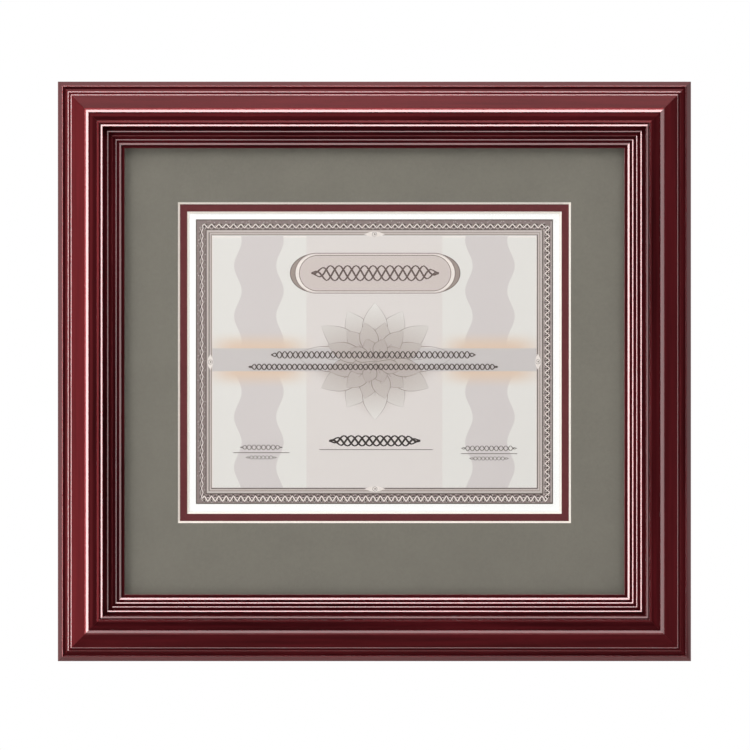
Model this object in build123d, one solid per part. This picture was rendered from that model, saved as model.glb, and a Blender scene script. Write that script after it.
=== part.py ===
from build123d import *

import math
import os

# Certificate frame: a mitred, stepped hardwood moulding round a glazed package of two bevelled
# mats, a letter-size certificate, a mounting board and a hardboard back. It hangs on a wall.
# X runs to the right as the viewer sees it, Z runs up, and the front faces -Y. The origin is in
# the wall plane, behind the middle of the frame. Sizes are millimetres, and angles are degrees.

# The certificate and how far the lower mat covers its edges
SHEET_WIDTH = 279.4
SHEET_HEIGHT = 215.9
SHEET_THICKNESS = 0.25
SHEET_SIDE_COVER = 12.0
SHEET_END_COVER = 5.1

# Linen tapes that hinge the certificate's top edge to the mounting board
TAPE_LENGTH = 28.0
TAPE_WIDTH = 14.0
TAPE_THICKNESS = 0.12
TAPE_LAP = 3.5
TAPE_CORNER_DISTANCE = 42.0

# Two mat boards with 45 degree bevels, and the borders that show round the window
MAT_THICKNESS = 1.4
MAT_REVEAL = 5.0
SIDE_BORDER = 36.6
TOP_BORDER = 37.0
BOTTOM_BORDER = 49.0

# Glass in front, mounting board and hardboard behind, and their play in the rebate
GLASS_THICKNESS = 2.0
GLASS_ARRIS = 0.3
MOUNT_THICKNESS = 5.0
BACKING_THICKNESS = 3.0
BACKING_ARRIS = 0.3
PACKAGE_PLAY = 0.7

# The moulding's section
MOULDING_WIDTH = 46.0
REBATE_WIDTH = 6.35
LIP_THICKNESS = 3.6
FACE_RISE = 11.5
BACK_ARRIS = 0.6
MITRE_OVERRUN = 4.0

# The moulding's face from its outer edge to the sight edge. Each corner gives its place across
# the width, its height as a share of the face's rise above the sight edge, and its rounding as a
# share of the width.
FACE_SHARES = [
    (0.000, 0.068, 0.020),  # outer edge
    (0.066, 0.293, 0.030),
    (0.085, 0.318, 0.010),
    (0.085, 0.258, 0.000),  # quirk
    (0.118, 0.264, 0.001),
    (0.153, 0.300, 0.000),
    (0.153, 0.378, 0.001),  # first step
    (0.162, 0.395, 0.003),
    (0.199, 0.426, 0.000),
    (0.199, 0.518, 0.001),  # second step
    (0.208, 0.533, 0.004),
    (0.270, 0.601, 0.300),  # hollow of the broad band
    (0.345, 0.683, 0.300),
    (0.405, 0.748, 0.060),
    (0.430, 0.786, 0.100),
    (0.468, 0.854, 0.004),  # crest
    (0.468, 0.784, 0.000),
    (0.527, 0.838, 0.020),  # swell behind the crest
    (0.590, 0.859, 0.000),
    (0.590, 0.899, 0.001),  # low bead
    (0.622, 0.939, 0.006),
    (0.628, 0.908, 0.000),
    (0.650, 0.908, 0.000),
    (0.650, 0.953, 0.001),  # bright bead
    (0.663, 0.974, 0.040),
    (0.677, 1.000, 0.003),
    (0.677, 0.468, 0.003),
    (0.743, 0.462, 0.001),  # first step down
    (0.759, 0.428, 0.002),
    (0.759, 0.360, 0.000),
    (0.810, 0.350, 0.001),  # second step down
    (0.820, 0.327, 0.002),
    (0.820, 0.290, 0.000),
    (0.867, 0.282, 0.001),  # third step down
    (0.882, 0.251, 0.002),
    (0.882, 0.205, 0.000),
    (0.922, 0.199, 0.001),  # fourth step down
    (0.949, 0.143, 0.002),
    (0.949, 0.040, 0.003),
    (1.000, 0.000, 0.009),  # sight edge
]
ROUNDING_LIMIT_SHARE = 0.48

# V-shaped nails driven across each mitre, by their distance from the outer edges
NAIL_DISTANCES = (13.0, 28.0)
NAIL_LEG = 5.5
NAIL_THICKNESS = 0.7
NAIL_DEPTH = 10.0
NAIL_HALF_ANGLE = 55.0

# Turn buttons that hold the package, and where their screws stand
BUTTON_LENGTH = 28.0
BUTTON_WIDTH = 11.0
BUTTON_THICKNESS = 1.2
BUTTON_ARRIS = 0.25
BUTTON_RIB_LENGTH = 12.0
BUTTON_RIB_WIDTH = 3.2
BUTTON_RIB_HEIGHT = 0.5
BUTTON_CORNER_DISTANCE = 90.0
BUTTON_REBATE_DISTANCE = 9.0
BUTTON_CLEARANCE = 0.1

# Pan head wood screws
SCREW_RADIUS = 1.75
SCREW_LENGTH = 13.0
SCREW_TIP = 3.0
SCREW_HEAD_RADIUS = 3.4
SCREW_HEAD_HEIGHT = 2.1
SCREW_HEAD_ROUNDING = 1.1
SCREW_SLOT_LENGTH = 3.8
SCREW_SLOT_WIDTH = 0.9
SCREW_SLOT_DEPTH = 1.3
PILOT_CLEARANCE = 0.03
HEAD_CLEARANCE = 0.05

# D-ring hangers: a folded steel strap and the ring that turns in its fold
RING_WIRE_RADIUS = 1.2
RING_INNER_WIDTH = 15.0
RING_LEG = 4.0
RING_CORNER_RADIUS = 2.6
RING_CLEARANCE = 0.08
STRAP_THICKNESS = 0.8
STRAP_WIDTH = 11.0
STRAP_LENGTH = 28.0
STRAP_NECK = 6.0
STRAP_SCREW_DISTANCE = 20.5
HANGER_SIDE_DISTANCE = 20.0
HANGER_TOP_DISTANCE = 139.0

# Rubber bumpers at the lower corners
BUMPER_RADIUS = 6.0
BUMPER_HEIGHT = 5.0
BUMPER_FACE_RADIUS = 4.6
BUMPER_ROUNDING = 0.8
BUMPER_SIDE_DISTANCE = 32.0
BUMPER_BOTTOM_DISTANCE = 13.0

# Sizes that follow from the ones above
CLEAR_WIDTH = SHEET_WIDTH - 2 * SHEET_SIDE_COVER
CLEAR_HEIGHT = SHEET_HEIGHT - 2 * SHEET_END_COVER
BEVEL = MAT_THICKNESS
LOWER_FRONT_GROWTH = BEVEL
UPPER_BACK_GROWTH = LOWER_FRONT_GROWTH + MAT_REVEAL
UPPER_FRONT_GROWTH = UPPER_BACK_GROWTH + BEVEL
WINDOW_WIDTH = CLEAR_WIDTH + 2 * UPPER_FRONT_GROWTH
WINDOW_HEIGHT = CLEAR_HEIGHT + 2 * UPPER_FRONT_GROWTH
WINDOW_Z = (BOTTOM_BORDER - TOP_BORDER) / 2
SIGHT_WIDTH = WINDOW_WIDTH + 2 * SIDE_BORDER
SIGHT_HEIGHT = WINDOW_HEIGHT + TOP_BORDER + BOTTOM_BORDER
FRAME_WIDTH = SIGHT_WIDTH + 2 * MOULDING_WIDTH
FRAME_HEIGHT = SIGHT_HEIGHT + 2 * MOULDING_WIDTH
PACKAGE_WIDTH = SIGHT_WIDTH + 2 * (REBATE_WIDTH - PACKAGE_PLAY)
PACKAGE_HEIGHT = SIGHT_HEIGHT + 2 * (REBATE_WIDTH - PACKAGE_PLAY)

# Depths measured forwards from the moulding's back, and the back's place before the wall
SHEET_LAYER = SHEET_THICKNESS + TAPE_THICKNESS
BACKING_FRONT = BACKING_THICKNESS
MOUNT_FRONT = BACKING_FRONT + MOUNT_THICKNESS
SHEET_FRONT = MOUNT_FRONT + SHEET_THICKNESS
TAPE_FRONT = MOUNT_FRONT + SHEET_LAYER
LOWER_MAT_FRONT = TAPE_FRONT + MAT_THICKNESS
UPPER_MAT_FRONT = LOWER_MAT_FRONT + MAT_THICKNESS
GLASS_FRONT = UPPER_MAT_FRONT + GLASS_THICKNESS
REBATE_DEPTH = GLASS_FRONT
LIP_FRONT = REBATE_DEPTH + LIP_THICKNESS
MOULDING_DEPTH = LIP_FRONT + FACE_RISE
BACK_Y = -BUMPER_HEIGHT

FORWARD = Vector(0, -1, 0)
TO_WALL = Vector(0, 1, 0)


def at_depth(depth):
    """The Y place that lies a depth in front of the moulding's back."""
    return BACK_Y - depth


def rounded_face(corners, plane):
    """A flat face from corners (x, y, rounding); a rounding is limited by its two sides."""
    points = [Vector(x, y) for x, y, _ in corners]
    starts, ends, arcs = [], [], []
    for index, (x, y, rounding) in enumerate(corners):
        here = points[index]
        before = points[index - 1] - here
        after = points[(index + 1) % len(points)] - here
        half = math.radians(before.get_angle(after)) / 2
        shortest = min(before.length, after.length)
        tangent = min(rounding / math.tan(half), ROUNDING_LIMIT_SHARE * shortest)
        start = here + before.normalized() * tangent
        end = here + after.normalized() * tangent
        starts.append(start)
        ends.append(end)
        if tangent > 0:
            radius = tangent * math.tan(half)
            inward = (before.normalized() + after.normalized()).normalized()
            middle = here + inward * (radius / math.sin(half) - radius)
            arcs.append(ThreePointArc(start, middle, end))
    sides = [Line(ends[index - 1], starts[index]) for index in range(len(corners))]
    return plane * make_face(arcs + sides)


def plate(width, height, back, thickness, centre_z=0):
    """A flat board whose back face stands a depth in front of the moulding's back."""
    centre_y = at_depth(back + thickness / 2)
    return Pos(0, centre_y, centre_z) * Box(width, thickness, height)


def window_cut(width, height, back):
    """What a 45 degree bevelled window takes from a mat; the sizes are those at its back face."""
    layers = []
    for growth, depth in ((0, 0), (BEVEL, MAT_THICKNESS)):
        face_plane = Plane(
            origin=(0, at_depth(back + depth), WINDOW_Z), x_dir=(1, 0, 0), z_dir=FORWARD
        )
        layers.append(face_plane * Rectangle(width + 2 * growth, height + 2 * growth))
    return loft(layers)


class Rail:
    """One side of the frame: the way in from its outer edge, the way along it, and its length."""

    def __init__(self, inward, along, outer_distance, length):
        self.inward = Vector(*inward)
        self.along = Vector(*along)
        self.length = length
        self.outer = Vector(0, BACK_Y, 0) - self.inward * outer_distance

    def at(self, along, inward):
        """A point on the moulding's back, by its place along the rail and in from the edge."""
        return self.outer + self.along * along + self.inward * inward

    def solid(self):
        """The moulding cut to length with both mitres."""
        section = Plane(origin=self.outer, x_dir=self.inward, z_dir=self.along)
        face = [
            (across * MOULDING_WIDTH, LIP_FRONT + rise * FACE_RISE, rounding * MOULDING_WIDTH)
            for across, rise, rounding in FACE_SHARES
        ]
        rebate_edge = MOULDING_WIDTH - REBATE_WIDTH
        back = [
            (MOULDING_WIDTH, REBATE_DEPTH, 0),
            (rebate_edge, REBATE_DEPTH, 0),
            (rebate_edge, 0, 0),
            (0, 0, BACK_ARRIS),
        ]
        stock = extrude(rounded_face(face + back, section), self.length / 2, both=True)
        reach = MOULDING_WIDTH + MITRE_OVERRUN
        half = self.length / 2
        corners = [
            self.at(-half, 0),
            self.at(half, 0),
            self.at(half - reach, reach),
            self.at(-half + reach, reach),
        ]
        outline = make_face(Polyline(*corners, close=True))
        return stock & extrude(outline, MOULDING_DEPTH + MITRE_OVERRUN, dir=FORWARD)


RAILS = {
    "top_rail": Rail((0, 0, -1), (-1, 0, 0), FRAME_HEIGHT / 2, FRAME_WIDTH),
    "bottom_rail": Rail((0, 0, 1), (1, 0, 0), FRAME_HEIGHT / 2, FRAME_WIDTH),
    "left_rail": Rail((1, 0, 0), (0, 0, -1), FRAME_WIDTH / 2, FRAME_HEIGHT),
    "right_rail": Rail((-1, 0, 0), (0, 0, 1), FRAME_WIDTH / 2, FRAME_HEIGHT),
}


def mitre_nails():
    """Two V-shaped nails across each mitre, flush with the moulding's back."""
    nails = []
    for side in (-1, 1):
        for end in (-1, 1):
            inward = Vector(-side, 0, -end).normalized()
            for distance in NAIL_DISTANCES:
                apex = Vector(
                    side * (FRAME_WIDTH / 2 - distance), BACK_Y, end * (FRAME_HEIGHT / 2 - distance)
                )
                base = Plane(origin=apex, x_dir=inward, z_dir=FORWARD)
                leg = Pos(NAIL_LEG / 2, 0) * Rectangle(NAIL_LEG, NAIL_THICKNESS)
                outline = Circle(NAIL_THICKNESS / 2)
                for angle in (-NAIL_HALF_ANGLE, NAIL_HALF_ANGLE):
                    outline = outline + Rot(0, 0, angle) * leg
                nails.append(extrude(base * outline, NAIL_DEPTH))
    return nails


def wood_screw(seat):
    """A pan head screw whose head bears a small clearance off the seat, a point on what it holds."""
    under_head = Plane(origin=seat + TO_WALL * HEAD_CLEARANCE, x_dir=(1, 0, 0), z_dir=TO_WALL)
    head = extrude(Circle(SCREW_HEAD_RADIUS), SCREW_HEAD_HEIGHT)
    head = fillet(head.edges().sort_by(Axis.Z)[-1], SCREW_HEAD_ROUNDING)
    slot = Box(
        SCREW_SLOT_LENGTH,
        SCREW_SLOT_WIDTH,
        SCREW_SLOT_DEPTH,
        align=(Align.CENTER, Align.CENTER, Align.MAX),
    )
    recess = Pos(0, 0, SCREW_HEAD_HEIGHT) * (slot + Rot(0, 0, 90) * slot)
    straight = SCREW_LENGTH - SCREW_TIP
    shank = Pos(0, 0, -straight / 2) * Cylinder(SCREW_RADIUS, straight)
    tip = Pos(0, 0, -straight - SCREW_TIP / 2) * Cone(SCREW_RADIUS / 4, SCREW_RADIUS, SCREW_TIP)
    return under_head * (head - recess + shank + tip)


def pilot_hole(seat):
    """The hole that a screw takes in the wood below its seat."""
    start = seat + TO_WALL * HEAD_CLEARANCE
    hole = Plane(origin=start, x_dir=(1, 0, 0), z_dir=FORWARD)
    return hole * extrude(Circle(SCREW_RADIUS + PILOT_CLEARANCE), SCREW_LENGTH + PILOT_CLEARANCE)


def button_places():
    """Each turn button's name, its screw's point on the moulding's back, and the way it points."""
    places = {}
    for side, rail_name, ends in (
        ("top", "top_rail", ("right", "left")),
        ("bottom", "bottom_rail", ("left", "right")),
        ("left", "left_rail", ("upper", "lower")),
        ("right", "right_rail", ("lower", "upper")),
    ):
        rail = RAILS[rail_name]
        inward = MOULDING_WIDTH - REBATE_WIDTH - BUTTON_REBATE_DISTANCE
        for sign, end in zip((-1, 1), ends):
            along = sign * (rail.length / 2 - BUTTON_CORNER_DISTANCE)
            places[f"turn_button_{side}_{end}"] = (rail.at(along, inward), rail.inward)
    return places


def turn_button(place, inward):
    """A stamped plate with round ends and a pressed rib, lying on the moulding's back."""
    end_radius = BUTTON_WIDTH / 2
    span = BUTTON_LENGTH - BUTTON_WIDTH
    outline = Pos(span / 2, 0) * SlotCenterToCenter(span, BUTTON_WIDTH)
    blank = extrude(outline - Circle(SCREW_RADIUS + BUTTON_CLEARANCE), BUTTON_THICKNESS)
    upper_edges = blank.edges().group_by(Axis.Z)[-1]
    blank = fillet(upper_edges.filter_by(lambda edge: edge.length > end_radius), BUTTON_ARRIS)
    rib_start = SCREW_HEAD_RADIUS + BUTTON_RIB_WIDTH
    rib_outline = Pos(rib_start + BUTTON_RIB_LENGTH / 2, 0) * SlotOverall(
        BUTTON_RIB_LENGTH, BUTTON_RIB_WIDTH
    )
    rib = Pos(0, 0, BUTTON_THICKNESS) * extrude(rib_outline, BUTTON_RIB_HEIGHT)
    rib = fillet(rib.edges().group_by(Axis.Z)[-1], BUTTON_RIB_HEIGHT / 2)
    return Plane(origin=place, x_dir=inward, z_dir=TO_WALL) * (blank + rib)


def hanger_pivot(side):
    """The middle of a D-ring's straight bar; side is -1 for the left hanger and 1 for the right."""
    return Vector(
        side * (FRAME_WIDTH / 2 - HANGER_SIDE_DISTANCE),
        BACK_Y + STRAP_THICKNESS + RING_WIRE_RADIUS + RING_CLEARANCE,
        FRAME_HEIGHT / 2 - HANGER_TOP_DISTANCE,
    )


def hanger_strap(side):
    """A strap folded round the ring's bar, its two leaves pressed together below the fold."""
    pivot = hanger_pivot(side)
    inner = RING_WIRE_RADIUS + RING_CLEARANCE
    outer = inner + STRAP_THICKNESS
    leaves = 2 * STRAP_THICKNESS
    section = Plane(origin=pivot, x_dir=(0, 0, -1), z_dir=(1, 0, 0))
    # In the section, x runs down the strap and y runs towards the wall.
    loop = Circle(outer) + make_face(
        Polyline(
            (0, -outer),
            (STRAP_NECK, -outer),
            (STRAP_NECK, -outer + leaves),
            (0, outer),
            close=True,
        )
    )
    tail = Pos(STRAP_LENGTH / 2, -outer + leaves / 2) * Rectangle(STRAP_LENGTH, leaves)
    folded = extrude(section * (loop + tail - Circle(inner)), STRAP_WIDTH / 2, both=True)
    lower = Plane(origin=(pivot.X, BACK_Y, pivot.Z), x_dir=(0, 0, -1), z_dir=TO_WALL)
    round_span = STRAP_LENGTH - STRAP_WIDTH / 2 + outer
    middle = (STRAP_LENGTH - STRAP_WIDTH / 2 - outer) / 2
    height = 2 * outer + leaves
    tail_shape = Pos(middle, 0) * Rectangle(round_span, STRAP_WIDTH)
    tail_shape += Pos(STRAP_LENGTH - STRAP_WIDTH / 2, 0) * Circle(STRAP_WIDTH / 2)
    strap = folded & (lower * extrude(tail_shape, height))
    hole = Pos(STRAP_SCREW_DISTANCE, 0) * Circle(SCREW_RADIUS + PILOT_CLEARANCE)
    return strap - lower * extrude(hole, height)


def hanger_screw_seat(side):
    """The point on a strap's upper leaf where its screw's head bears."""
    pivot = hanger_pivot(side)
    return Vector(pivot.X, BACK_Y + 2 * STRAP_THICKNESS, pivot.Z - STRAP_SCREW_DISTANCE)


def hanger_ring(side):
    """A D of round wire: a straight bar, two rounded corners, two legs and a half-round bow."""
    bow = RING_INNER_WIDTH / 2 + RING_WIRE_RADIUS
    corner = RING_CORNER_RADIUS
    path = Line((0, 0), (bow - corner, 0))
    path += RadiusArc((bow - corner, 0), (bow, corner), -corner)
    path += Line((bow, corner), (bow, RING_LEG + corner))
    path += ThreePointArc((bow, RING_LEG + corner), (0, RING_LEG + corner + bow), (-bow, RING_LEG + corner))
    path += Line((-bow, RING_LEG + corner), (-bow, corner))
    path += RadiusArc((-bow, corner), (-bow + corner, 0), -corner)
    path += Line((-bow + corner, 0), (0, 0))
    start = Plane(origin=(0, 0, 0), x_dir=(0, 1, 0), z_dir=(1, 0, 0))
    ring = sweep(start * Circle(RING_WIRE_RADIUS), path=path)
    return Plane(origin=hanger_pivot(side), x_dir=(1, 0, 0), z_dir=FORWARD) * ring


def bumper(side):
    """A domed rubber foot stuck to the lower rail's back; its flat face touches the wall."""
    centre = Vector(
        side * (FRAME_WIDTH / 2 - BUMPER_SIDE_DISTANCE),
        BACK_Y,
        -FRAME_HEIGHT / 2 + BUMPER_BOTTOM_DISTANCE,
    )
    foot = Pos(0, 0, BUMPER_HEIGHT / 2) * Cone(BUMPER_RADIUS, BUMPER_FACE_RADIUS, BUMPER_HEIGHT)
    foot = fillet(foot.edges().sort_by(Axis.Z)[-1], BUMPER_ROUNDING)
    return Plane(origin=centre, x_dir=(1, 0, 0), z_dir=TO_WALL) * foot


def build_nodes():
    """Every piece of the frame by its node name."""
    nodes = {}
    nails = mitre_nails()
    buttons = button_places()
    button_seats = [place + TO_WALL * BUTTON_THICKNESS for place, _ in buttons.values()]
    hanger_seats = [hanger_screw_seat(side) for side in (-1, 1)]
    holes = [pilot_hole(seat) for seat in button_seats + hanger_seats]
    for name, rail in RAILS.items():
        nodes[name] = rail.solid() - nails - holes
    nodes["mitre_nails"] = Compound(nails)

    package = (PACKAGE_WIDTH, PACKAGE_HEIGHT)
    glass = plate(*package, UPPER_MAT_FRONT, GLASS_THICKNESS)
    nodes["glazing"] = chamfer(glass.edges().filter_by(Axis.Y), GLASS_ARRIS)
    lower_mat = plate(*package, TAPE_FRONT, MAT_THICKNESS)
    nodes["lower_mat"] = lower_mat - window_cut(CLEAR_WIDTH, CLEAR_HEIGHT, TAPE_FRONT)
    upper_width = CLEAR_WIDTH + 2 * UPPER_BACK_GROWTH
    upper_height = CLEAR_HEIGHT + 2 * UPPER_BACK_GROWTH
    upper_mat = plate(*package, LOWER_MAT_FRONT, MAT_THICKNESS)
    nodes["upper_mat"] = upper_mat - window_cut(upper_width, upper_height, LOWER_MAT_FRONT)
    nodes["certificate"] = plate(
        SHEET_WIDTH, SHEET_HEIGHT, MOUNT_FRONT, SHEET_THICKNESS, WINDOW_Z
    )
    nodes["mount_board"] = plate(*package, BACKING_FRONT, MOUNT_THICKNESS)
    backing = plate(*package, 0, BACKING_THICKNESS)
    back_edges = backing.faces().sort_by(Axis.Y)[-1].edges()
    nodes["backing_board"] = chamfer(back_edges, BACKING_ARRIS)

    tape_x = SHEET_WIDTH / 2 - TAPE_CORNER_DISTANCE
    sheet_top = WINDOW_Z + SHEET_HEIGHT / 2
    lap = Pos(0, at_depth(SHEET_FRONT + TAPE_THICKNESS / 2), sheet_top - TAPE_LAP / 2)
    lap = lap * Box(TAPE_LENGTH, TAPE_THICKNESS, TAPE_LAP)
    foot_height = TAPE_WIDTH - TAPE_LAP
    foot = Pos(0, at_depth(MOUNT_FRONT + SHEET_LAYER / 2), sheet_top + foot_height / 2)
    foot = foot * Box(TAPE_LENGTH, SHEET_LAYER, foot_height)
    nodes["hinge_tapes"] = Compound([Pos(x, 0, 0) * (lap + foot) for x in (-tape_x, tape_x)])

    for name, (place, inward) in buttons.items():
        nodes[name] = turn_button(place, inward)
    nodes["button_screws"] = Compound([wood_screw(seat) for seat in button_seats])
    for side, label in ((-1, "left"), (1, "right")):
        nodes[f"hanger_strap_{label}"] = hanger_strap(side)
        nodes[f"hanger_ring_{label}"] = hanger_ring(side)
        nodes[f"bumper_{label}"] = bumper(side)
    nodes["hanger_screws"] = Compound([wood_screw(seat) for seat in hanger_seats])
    return nodes


os.makedirs("parts", exist_ok=True)
for node_name, shape in build_nodes().items():
    export_step(shape, f"parts/{node_name}.step")
print("frame", round(FRAME_WIDTH, 1), "x", round(FRAME_HEIGHT, 1), "x", round(MOULDING_DEPTH, 1))
print("sight", round(SIGHT_WIDTH, 1), "x", round(SIGHT_HEIGHT, 1))
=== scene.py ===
import logging
import math
import random
from collections.abc import Callable, Sequence
from dataclasses import dataclass
from enum import Enum

import bpy
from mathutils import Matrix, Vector


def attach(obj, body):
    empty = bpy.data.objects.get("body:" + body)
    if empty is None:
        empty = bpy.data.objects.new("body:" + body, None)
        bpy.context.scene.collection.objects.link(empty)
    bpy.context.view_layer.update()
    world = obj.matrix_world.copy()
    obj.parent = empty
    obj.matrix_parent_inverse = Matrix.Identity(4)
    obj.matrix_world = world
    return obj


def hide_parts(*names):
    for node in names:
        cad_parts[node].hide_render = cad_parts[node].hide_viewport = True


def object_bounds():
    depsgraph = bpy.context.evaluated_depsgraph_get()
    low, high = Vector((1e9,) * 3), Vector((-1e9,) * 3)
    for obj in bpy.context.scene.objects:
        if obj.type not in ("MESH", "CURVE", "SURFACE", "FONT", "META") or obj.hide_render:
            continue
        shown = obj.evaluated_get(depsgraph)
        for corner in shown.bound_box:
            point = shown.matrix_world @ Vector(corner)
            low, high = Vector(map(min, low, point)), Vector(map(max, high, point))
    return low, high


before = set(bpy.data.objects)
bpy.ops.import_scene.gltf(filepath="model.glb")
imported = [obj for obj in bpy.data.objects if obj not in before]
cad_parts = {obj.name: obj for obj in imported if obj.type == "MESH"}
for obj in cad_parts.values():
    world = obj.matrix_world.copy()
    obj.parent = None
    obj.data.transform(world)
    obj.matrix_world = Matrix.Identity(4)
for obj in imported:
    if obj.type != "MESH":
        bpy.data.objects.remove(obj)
CAD_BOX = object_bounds()
LOG = logging.getLogger("certificate_frame")

# Sizes are written in millimetres and multiplied by this where they meet Blender.
MM = 0.001
MAIN_BODY = "frame"

# A Mix node's sockets, for numbers and for colours
MIX_SHARE, MIX_FIRST, MIX_SECOND = 0, 2, 3
MIX_BELOW, MIX_ABOVE, MIX_COLOUR = 6, 7, 2

Point = tuple[float, float]
Size = tuple[float, float, float]
Colour = tuple[float, float, float, float]
Piece = bpy.types.Object
Material = bpy.types.Material
Socket = bpy.types.NodeSocket


# Shared tools


def linear(code: str) -> Colour:
    """Turns an sRGB hex colour into Blender's linear colour.

    Args:
        code: six hex digits after a hash sign.

    Returns:
        Red, green, blue and a full alpha.
    """
    parts = [int(code[start : start + 2], 16) / 255 for start in (1, 3, 5)]
    red, green, blue = (
        part / 12.92 if part <= 0.04045 else ((part + 0.055) / 1.055) ** 2.4 for part in parts
    )
    return red, green, blue, 1.0


def add_node(tree: bpy.types.NodeTree, kind: str, inputs: dict) -> bpy.types.Node:
    """Adds a node with its settings and links.

    Args:
        tree: the node tree that gets it.
        kind: the node's type, without the words ShaderNode.
        inputs: values by property name, or by an input's name or number; a socket is linked.

    Returns:
        The new node.
    """
    node = tree.nodes.new(f"ShaderNode{kind}")
    for key, value in inputs.items():
        if isinstance(value, Socket):
            tree.links.new(value, node.inputs[key])
        elif isinstance(key, int) or key in node.inputs:
            node.inputs[key].default_value = value
        else:
            setattr(node, key, value)
    return node


def deselect_all() -> None:
    """Leaves object mode and lets go of every object."""
    if bpy.context.object is not None and bpy.context.object.mode != "OBJECT":
        bpy.ops.object.mode_set(mode="OBJECT")
    bpy.ops.object.select_all(action="DESELECT")


def take(piece: Piece) -> None:
    """Selects one object alone and makes it the active one.

    Args:
        piece: the object.
    """
    deselect_all()
    piece.select_set(True)
    bpy.context.view_layer.objects.active = piece


def begin(name: str, primitive: Callable, **place: object) -> Piece:
    """Starts a piece from a primitive.

    Args:
        name: the piece's name.
        primitive: the operator that adds it.
        place: the operator's own settings, such as its size, place and turn.

    Returns:
        The new piece.
    """
    deselect_all()
    primitive(**place)
    piece = bpy.context.object
    piece.name = name
    return piece


def copy_of(piece: Piece) -> Piece:
    """Copies a piece with its mesh.

    Args:
        piece: the object to copy.

    Returns:
        The copy.
    """
    take(piece)
    bpy.ops.object.duplicate()
    return bpy.context.object


def edit(piece: Piece, chosen: Callable[[Vector], bool] | None = None) -> None:
    """Enters edit mode on a piece with chosen points selected, or all of it.

    Args:
        piece: the mesh object.
        chosen: a test of a point's place.
    """
    take(piece)
    bpy.ops.object.mode_set(mode="EDIT")
    bpy.ops.mesh.select_mode(type="VERT")
    bpy.ops.mesh.select_all(action="DESELECT" if chosen else "SELECT")
    if chosen:
        bpy.ops.object.mode_set(mode="OBJECT")
        for vertex in piece.data.vertices:
            vertex.select = chosen(vertex.co)
        bpy.ops.object.mode_set(mode="EDIT")


def leave_edit() -> None:
    """Goes back to object mode."""
    bpy.ops.object.mode_set(mode="OBJECT")


def turn_outward() -> None:
    """Turns all faces of the piece in edit mode outward, and leaves edit mode."""
    bpy.ops.mesh.select_all(action="SELECT")
    bpy.ops.mesh.normals_make_consistent(inside=False)
    leave_edit()


def settle(piece: Piece) -> None:
    """Puts a piece's place, turn and size into its mesh, so that its object sits at the origin."""
    take(piece)
    bpy.ops.object.transform_apply(location=True, rotation=True, scale=True)


def dress(piece: Piece, *materials: Material) -> None:
    """Gives a piece its materials; a carried-over piece only has its slots filled.

    Args:
        piece: the object to dress.
        materials: one for each slot, the first for all faces unless the mesh says otherwise.
    """
    if len(materials) == 1 and piece.material_slots:
        for slot in piece.material_slots:
            slot.material = materials[0]
        return
    for material in materials:
        piece.data.materials.append(material)


def dress_node(node: str, material: Material) -> None:
    """Dresses a carried-over piece and reports it."""
    dress(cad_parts[node], material)
    LOG.info("%s: dressed", node)


def hand_over(piece: Piece, body: str = MAIN_BODY) -> None:
    """Makes a finished piece ride on its body and reports it.

    Args:
        piece: the finished piece.
        body: the body that carries it.
    """
    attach(piece, body)
    LOG.info("%s: %d faces, rides on %s", piece.name, len(piece.data.polygons), body)


# Finishes


class Recipe:
    """A material in the making: its shader, and the colours laid so far."""

    def __init__(self, name: str, shader: dict, ground: str) -> None:
        """Starts a material with a Principled shader.

        Args:
            name: the material's name.
            shader: the shader's values by input name.
            ground: the hex value of the colour that others are laid on.
        """
        self.material = bpy.data.materials.new(name)
        self.material.use_nodes = True
        self.tree = self.material.node_tree
        self.tree.nodes.clear()
        self.colour: Colour | Socket = linear(ground)
        base = {**shader, "Base Color": self.colour}
        self.shader = add_node(self.tree, "BsdfPrincipled", base)
        self.output = add_node(self.tree, "OutputMaterial", {"Surface": self.shader.outputs[0]})
        self.place = self.add("TexCoord", {}, "Object")

    def add(self, kind: str, inputs: dict, output: int | str = 0) -> Socket:
        """Adds a node and gives one of its outputs."""
        return add_node(self.tree, kind, inputs).outputs[output]

    def feed(self, target: str, kind: str, inputs: dict) -> None:
        """Adds a node that feeds one of the shader's inputs."""
        self.tree.links.new(self.add(kind, inputs), self.shader.inputs[target])

    def mottle(
        self, size: float | Size, detail: float, low: float = 0.3, high: float = 0.7
    ) -> Socket:
        """A noise of a real size, spread from none to full between two of its levels.

        Args:
            size: how long its features are in millimetres, or how long along X, Y and Z.
            detail: octaves of finer noise.
            low: the noise level that gives 0.
            high: the noise level that gives 1.

        Returns:
            The socket with the share from 0 to 1.
        """
        lengths = size if isinstance(size, tuple) else (size, size, size)
        scale = [1 / (length * MM) for length in lengths]
        stretched = self.add("Mapping", {"Scale": scale, "Vector": self.place})
        noise = {"Scale": 1.0, "Detail": detail, "Roughness": 0.6, "Vector": stretched}
        spread = {"From Min": low, "From Max": high, "Value": self.add("TexNoise", noise)}
        return self.add("MapRange", spread)

    def lay(self, code: str, share: Socket, strength: float = 1.0) -> None:
        """Lays a colour over what is there.

        Args:
            code: the colour's hex value.
            share: how much of it lies at each spot, from 0 to 1.
            strength: how much it covers where the share is full.
        """
        if strength < 1:
            share = self.add("Math", {"operation": "MULTIPLY", 0: share, 1: strength})
        layers = {MIX_SHARE: share, MIX_BELOW: self.colour, MIX_ABOVE: linear(code)}
        self.colour = self.add("Mix", {"data_type": "RGBA", **layers}, MIX_COLOUR)
        self.tree.links.new(self.colour, self.shader.inputs["Base Color"])


class Grain(Enum):
    """The way the wood's grain runs: along Z in the side rails, along X in the other two."""

    UPRIGHT = "upright"
    LEVEL = "level"

    def size(self, along: float, across: float) -> Size:
        """The size along X, Y and Z of features of these lengths, along and across the grain."""
        return (across, across, along) if self is Grain.UPRIGHT else (along, across, across)


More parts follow.
